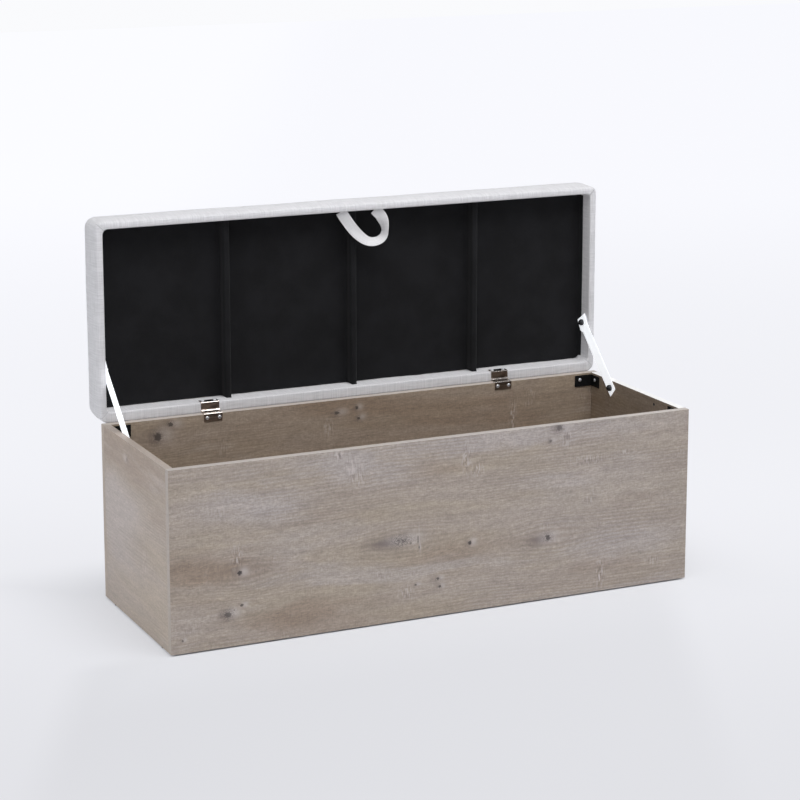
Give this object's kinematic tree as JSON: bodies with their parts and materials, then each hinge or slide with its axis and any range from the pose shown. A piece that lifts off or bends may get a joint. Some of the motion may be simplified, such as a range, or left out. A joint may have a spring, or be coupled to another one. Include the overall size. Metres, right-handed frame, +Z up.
{
  "type": "upholstered storage bench",
  "caption": "Long storage bench: a deep wood-effect box with a padded, linen-covered lid that stands open on cranked hinges and is held by tape straps.",
  "frame": {"origin": "on the floor, in the middle of the bench's overall footprint with the lid open", "axes": "+X along the bench to its right seen from the front, +Y towards the hinged back, +Z up"},
  "size_m": [1.21, 0.506, 0.8217],
  "materials": {
    "wood_effect_board": "matt foil with a weathered grey-beige oak grain and small knots",
    "beech": "bare turned beech",
    "black_plastic": "matt moulded",
    "black_steel": "satin black coating",
    "zinc_steel": "bright zinc",
    "nickel_steel": "bright nickel",
    "softwood": "planed, unfinished",
    "foam": "open-cell foam and wadding",
    "linen_cover": "plain-woven pale grey linen look",
    "black_liner": "black non-woven dust cloth",
    "white_tape": "white woven tape"
  },
  "bodies": {
    "box": {"front_panel": "wood_effect_board", "back_panel": "wood_effect_board", "left_side_panel": "wood_effect_board", "right_side_panel": "wood_effect_board", "base_panel": "wood_effect_board", "dowel_front_left": "beech", "glide_front_left": "black_plastic", "bracket_front_left": "black_steel", "bracket_screw_front_left_a": "zinc_steel", "bracket_screw_front_left_b": "zinc_steel", "dowel_front_right": "beech", "glide_front_right": "black_plastic", "bracket_front_right": "black_steel", "bracket_screw_front_right_a": "zinc_steel", "bracket_screw_front_right_b": "zinc_steel", "dowel_back_right": "beech", "glide_back_right": "black_plastic", "bracket_back_right": "black_steel", "bracket_screw_back_right_a": "zinc_steel", "bracket_screw_back_right_b": "zinc_steel", "dowel_back_left": "beech", "glide_back_left": "black_plastic", "bracket_back_left": "black_steel", "bracket_screw_back_left_a": "zinc_steel", "bracket_screw_back_left_b": "zinc_steel", "hinge_box_leaf_left": "nickel_steel", "hinge_pin_left": "nickel_steel", "hinge_box_screw_left_a": "nickel_steel", "hinge_box_screw_left_b": "nickel_steel", "stay_strap_left": "white_tape", "stay_screw_box_left": "black_steel", "hinge_box_leaf_right": "nickel_steel", "hinge_pin_right": "nickel_steel", "hinge_box_screw_right_a": "nickel_steel", "hinge_box_screw_right_b": "nickel_steel", "stay_strap_right": "white_tape", "stay_screw_box_right": "black_steel"},
    "lid": {"hinge_lid_leaf_left": "nickel_steel", "hinge_lid_screw_left_a": "nickel_steel", "hinge_lid_screw_left_b": "nickel_steel", "stay_screw_lid_left": "black_steel", "hinge_lid_leaf_right": "nickel_steel", "hinge_lid_screw_right_a": "nickel_steel", "hinge_lid_screw_right_b": "nickel_steel", "stay_screw_lid_right": "black_steel", "lid_rail_rear": "softwood", "lid_rail_front": "softwood", "lid_rail_left": "softwood", "lid_rail_right": "softwood", "lid_slat_left": "softwood", "lid_slat_middle": "softwood", "lid_slat_right": "softwood", "lid_board": "softwood", "foam_pad": "foam", "lid_cover": "linen_cover", "lid_liner": "black_liner", "pull_loop": "linen_cover"}
  },
  "joints": [
    {"name": "lid_hinge", "type": "hinge", "parent": "box", "child": "lid", "pos_m": [0, 0.1648, 0.3895], "axis": [1, 0, 0], "range_deg": [0, 90], "deforming": ["stay_strap_left", "stay_strap_right"]}
  ]
}
